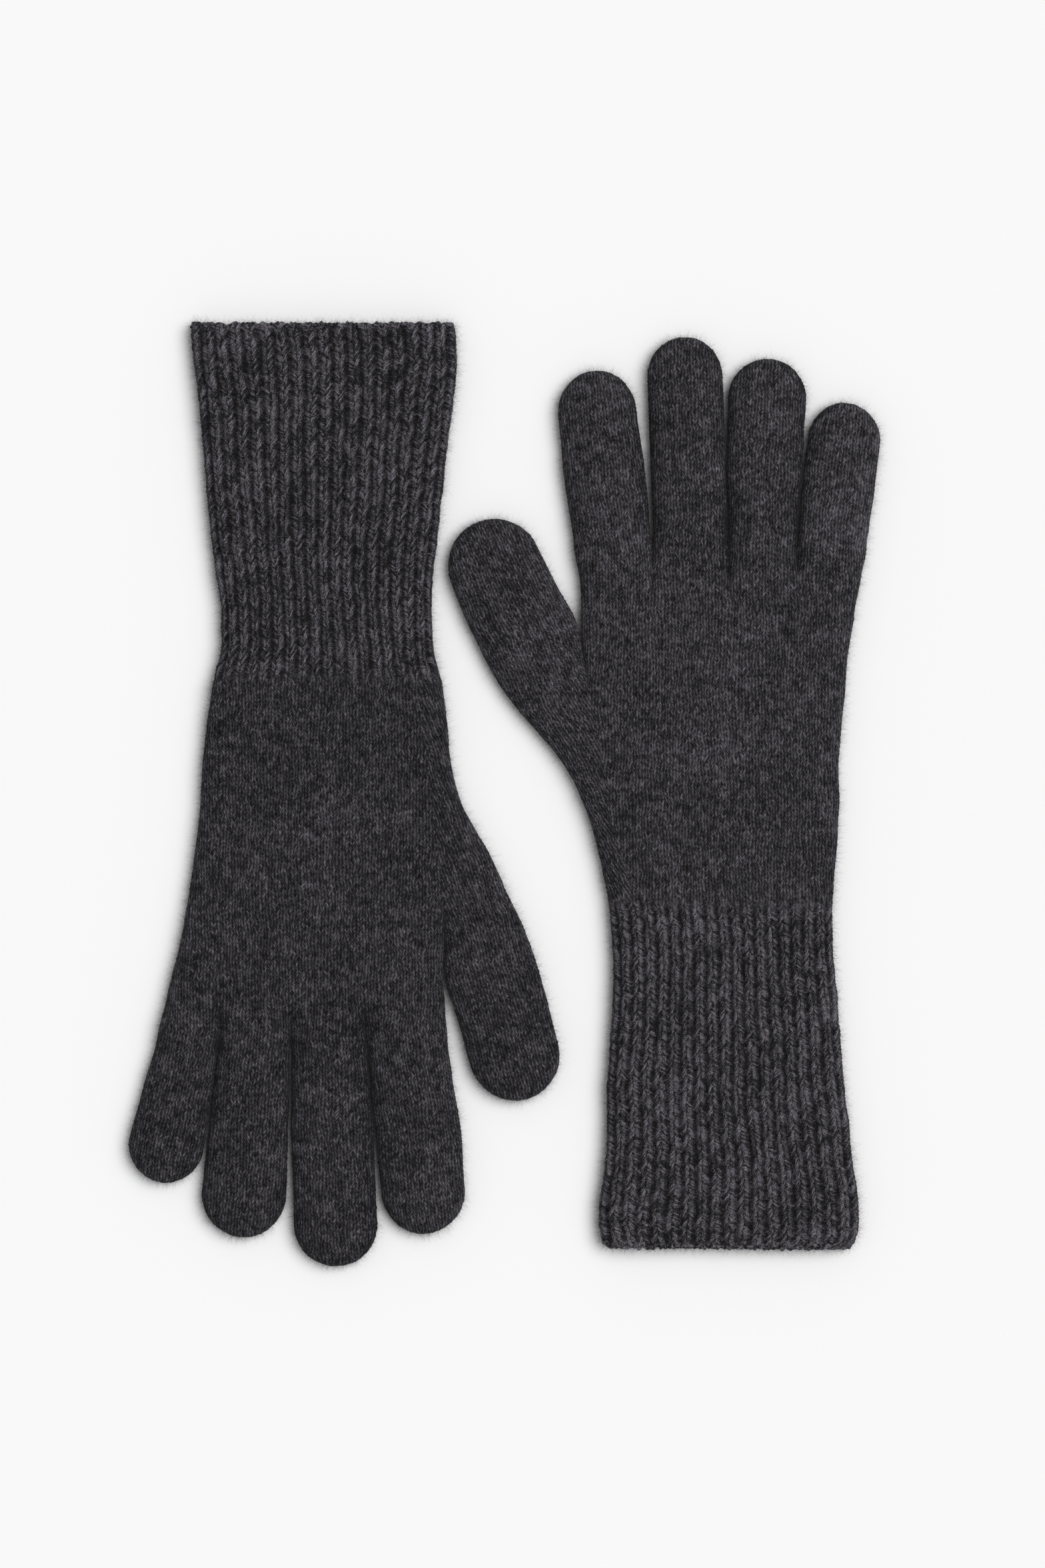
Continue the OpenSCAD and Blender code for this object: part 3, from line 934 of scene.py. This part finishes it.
def knit_material(name, lift):
    """Charcoal melange yarn, knitted. lift is a small change in tone."""
    n = Nodes(name)
    knit = n.add("SeparateXYZ", {"Vector": n.add("UVMap", uv_map="Knit").outputs["UV"]})
    kind = n.add("SeparateXYZ", {"Vector": n.add("Attribute", attribute_name="kind").outputs["Vector"]})
    place = n.add("Attribute", attribute_name="place").outputs["Vector"]
    wale, course = knit.outputs["X"], knit.outputs["Y"]
    plain = stitch_nodes(
        n, wale, course, 1, 1.0, (PLAIN_RISE, PLAIN_RISE), (1.0, 1.0), PLAIN_TAPER, PLAIN_FIBRES
    )
    uneven = n.centred(n.noise(place, RIB_UNEVEN_SCALE, 1.0, 0.5))
    rib_course = n.math("MULTIPLY_ADD", uneven, RIB_UNEVEN, course)
    rib = stitch_nodes(
        n, wale, rib_course, 2, RIDGE_SHARE, RIB_RISES, RIB_STRANDS, RIB_TAPER, RIB_FIBRES
    )
    plump, chance, streak = [n.mix_value(kind.outputs["X"], a, b) for a, b in zip(plain, rib)]
    lumps = n.noise(place, 0.9, 1.0, 0.5)
    # the hem's lumps get the same painted shade between them and painted light on top
    plump = n.mix_value(kind.outputs["Y"], plump, n.shape(lumps, (0.35, 0.0), (0.62, 1.0)))
    fleck = n.noise(place, FLECK_SCALE, 2.0, 0.65)
    parts = (
        (streak, STREAK),
        # painted glints on the ribs
        (n.noise(place, GLINT_SCALE, 1.0, 0.5), GLINT),
        (fleck, FLECK),
        (chance, CHANCE),
        (n.noise(place, MOTTLE_SCALE, 2.0, 0.8), MOTTLE),
        (n.noise(place, CLOUD_SCALE, 1.0, 0.5), CLOUD),
    )
    tone = 0.0
    for part, (on_plain, more_on_rib) in parts:
        strength = n.math("MULTIPLY_ADD", kind.outputs["X"], more_on_rib, on_plain)
        tone = n.math("MULTIPLY_ADD", n.centred(part), strength, tone)
    # kind's Z holds the glove's tone, the palest finger and the painted shade of the grooves
    tone = n.math("MULTIPLY_ADD", tone, TONE_CONTRAST, kind.outputs["Z"])
    # painted shade in the gaps between strands and in the rib valleys, painted light along each stitch's
    # crest
    contrast = n.math("MULTIPLY_ADD", kind.outputs["X"], -RIB_SHADE_FLATTER, GAP_SHADE_CONTRAST)
    gap = n.math("MULTIPLY_ADD", plump, contrast, GAP_SHADE_LEVEL + lift)
    level = n.math("EXPONENT", n.math("ADD", tone, gap))
    level = n.math("DIVIDE", level, n.math("MULTIPLY_ADD", level, PALE_LIMIT, 1.0))
    yarn = n.add("VectorMath", operation="SCALE")
    n.join(YARN[:3], yarn.inputs[0])
    n.join(level, yarn.inputs["Scale"])
    strand = n.add("HairInfo").outputs["Is Strand"]
    colour = n.mix(strand, yarn.outputs[0], FIBRE)
    height = n.math("MULTIPLY_ADD", n.centred(streak), BUMP_STREAK, plump)
    height = n.math("MULTIPLY_ADD", n.centred(fleck), BUMP_FLECK, height)
    bump = n.add("Bump", {"Strength": BUMP_STRENGTH, "Distance": BUMP_HEIGHT * MM, "Height": height})
    n.feed(n.shader, {
        "Base Color": colour,
        "Normal": bump.outputs["Normal"],
        "Roughness": 0.92,
        "Specular IOR Level": 0.10,
        "Sheen Weight": 0.04,
        "Sheen Roughness": 0.55,
        "Sheen Tint": (0.75, 0.75, 0.8, 1),
    })
    return n.material


# --- Pieces ---
def build_piece(glove, cloth, label, name, material):
    """One piece of a glove as an object: its mesh, shading, stitch coordinates and bake layout."""
    chosen = np.flatnonzero(cloth["labels"] == label)
    faces = cloth["faces"][chosen]
    # at the end of a tip two corners of a face meet, and one of them is left out
    keep = faces != np.roll(faces, 1, axis=1)
    solid = keep.sum(axis=1) >= 3
    faces, keep, chosen = faces[solid], keep[solid], chosen[solid]
    used, corners = np.unique(faces[keep], return_inverse=True)
    sizes = keep.sum(axis=1)
    starts = np.concatenate([[0], sizes.cumsum()[:-1]])
    mesh = bpy.data.meshes.new(name)
    mesh.vertices.add(len(used))
    mesh.loops.add(len(corners))
    mesh.polygons.add(len(faces))
    local = cloth["points"][used]
    mesh.vertices.foreach_set("co", glove.world(local).astype(np.float32).ravel())
    mesh.loops.foreach_set("vertex_index", corners.astype(np.int32).ravel())
    mesh.polygons.foreach_set("loop_start", starts.astype(np.int32))
    mesh.polygons.foreach_set("use_smooth", np.ones(len(faces), bool))
    mesh.update(calc_edges=True)
    for layer, values in (("Knit", cloth["knit"]), ("OFBake", cloth["cells"])):
        uv = mesh.uv_layers.new(name=layer)
        uv.uv.foreach_set("vector", values[chosen][keep].astype(np.float32).ravel())
    kind = cloth["kind"][used] + [0, 0, glove.tone]
    for attribute, values in (("place", local), ("kind", kind)):
        layer = mesh.attributes.new(attribute, "FLOAT_VECTOR", "POINT")
        layer.data.foreach_set("vector", values.astype(np.float32).ravel())
    normals = cloth["normals"][used] * [glove.turn, glove.turn, 1]
    mesh.normals_split_custom_set_from_vertices(normals.tolist())
    mesh.materials.append(material)
    piece = bpy.data.objects.new(name + "_knit", mesh)
    bpy.context.scene.collection.objects.link(piece)
    return piece


def fold(piece, glove, child, joint, direction):
    """Works out where a joint's fold line lies and the stretch past it, and bakes the piece's placement into
    its mesh.
    """
    local = np.array([*glove.place(joint), 0.0])
    past = local + BEND_LEN * np.array([*direction, 0.0])
    start, end = glove.world([local, past])
    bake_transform(piece)


def add_fuzz(piece, seed):
    """Loose fibres of the wool, as hair on the piece, so that its edges are soft."""
    area = sum(polygon.area for polygon in piece.data.polygons) / MM**2
    modifier = piece.modifiers.new("fuzz", "PARTICLE_SYSTEM")
    modifier.particle_system.seed = seed
    fuzz = modifier.particle_system.settings
    fuzz.type = "HAIR"
    fuzz.count = round(area * FUZZ_DENSITY)
    fuzz.use_advanced_hair = True
    fuzz.emit_from = "FACE"
    fuzz.distribution = "RAND"
    fuzz.use_modifier_stack = False
    fuzz.hair_step = FUZZ_STEPS
    fuzz.render_step = 3
    fuzz.normal_factor = FUZZ_OUT * MM / FUZZ_STEPS
    fuzz.factor_random = FUZZ_ASIDE * MM / FUZZ_STEPS
    fuzz.brownian_factor = FUZZ_CURL * MM / FUZZ_STEPS
    fuzz.use_hair_bspline = True
    fuzz.radius_scale = MM
    fuzz.root_radius = FUZZ_WIDTH
    fuzz.tip_radius = FUZZ_WIDTH / 3


PLAIN = knit_material("plain knit", 0.0)
RIB = knit_material("rib knit", RIB_LIFT)
HEM = knit_material("hem knit", RIB_LIFT)
SLOTS = {"cuff": (RIB, "rib_knit"), "hem": (HEM, "hem_knit")}


def make_glove(glove):
    """Knits a glove, cuts it into its pieces and hands the hem and the hand to the CAD bodies they belong
    to.
    """
    cloth = knit_glove(glove)
    side = glove.side
    for label, name in enumerate(cloth["names"]):
        part = name[len(side) :]
        section = part.split("_")[1]
        material, slot = SLOTS.get(section, (PLAIN, "plain_knit"))
        piece = build_piece(glove, cloth, label, name, material)
        along = glove.thumb_along if section == "thumb" else (0, 1)
        if part == "_hem":
            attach(piece, side + "_cuff_lower")
        elif part == "_cuff_lower":
            fold(piece, glove, "_cuff_lower", "cuff_turn", (0, -1))
        elif part == "_cuff_upper":
            fold(piece, glove, "_cuff_upper", "wrist_fold", (0, -1))
        elif section == "hand":
            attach(piece, side + "_hand")
        elif part.endswith("_base"):
            joint = "thumb_root" if section == "thumb" else section + "_knuckle"
            fold(piece, glove, part, joint, along)
        else:
            fold(piece, glove, part, section + "_bend", along)
        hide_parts(side + "_hand" if section == "hand" else name)
        add_fuzz(piece, glove.seed + label)


make_glove(LEFT)
make_glove(RIGHT)


# --- Table, light and camera ---
TABLE_SIZE = 12.0
TABLE_WHITE = 0.862
SKY_STRENGTH = 0.45
KEY_STRENGTH = 2.34
KEY_ANGLE = 45        # degrees across which the key light comes from
KEY_FROM = (0.45, 0.18, 0.86)
PHOTO_CENTRE = (0.00596, 0.0035)   # the point of the pair that the camera looks at
PHOTO_HEIGHT = 0.5294              # how much of the table the picture shows from top to bottom
LENS = 100.0
SENSOR = 36.0


def make_table():
    mesh = bpy.data.meshes.new("table")
    half = TABLE_SIZE / 2
    corners = [(-half, -half, 0), (half, -half, 0), (half, half, 0), (-half, half, 0)]
    mesh.from_pydata(corners, [], [(0, 1, 2, 3)])
    table = bpy.data.objects.new("table", mesh)
    bpy.context.scene.collection.objects.link(table)
    n = Nodes("white table")
    white = (TABLE_WHITE, TABLE_WHITE, TABLE_WHITE, 1)
    n.feed(n.shader, {"Base Color": white, "Roughness": 1.0, "Specular IOR Level": 0.0})
    mesh.materials.append(n.material)


def make_light():
    """An even white sky with a broad soft light from the upper right."""
    world = bpy.data.worlds.new("studio")
    world.use_nodes = True
    sky = world.node_tree.nodes["Background"]
    sky.inputs["Color"].default_value = (1, 1, 1, 1)
    sky.inputs["Strength"].default_value = SKY_STRENGTH
    bpy.context.scene.world = world
    key = bpy.data.lights.new("key", "SUN")
    key.energy = KEY_STRENGTH
    key.angle = math.radians(KEY_ANGLE)
    lamp = bpy.data.objects.new("key", key)
    lamp.rotation_euler = Vector(KEY_FROM).to_track_quat("Z", "Y").to_euler()
    bpy.context.scene.collection.objects.link(lamp)


def make_camera():
    """Straight above the pair, far enough away for the photograph's flat perspective."""
    data = bpy.data.cameras.new("camera")
    data.lens = LENS
    data.sensor_width = SENSOR
    distance = PHOTO_HEIGHT * LENS / SENSOR
    camera = bpy.data.objects.new("camera", data)
    camera.location = (*PHOTO_CENTRE, distance)
    data.clip_end = 20
    bpy.context.scene.collection.objects.link(camera)
    bpy.context.scene.camera = camera


make_table()
make_light()
make_camera()
bpy.context.scene.view_settings.view_transform = "Standard"
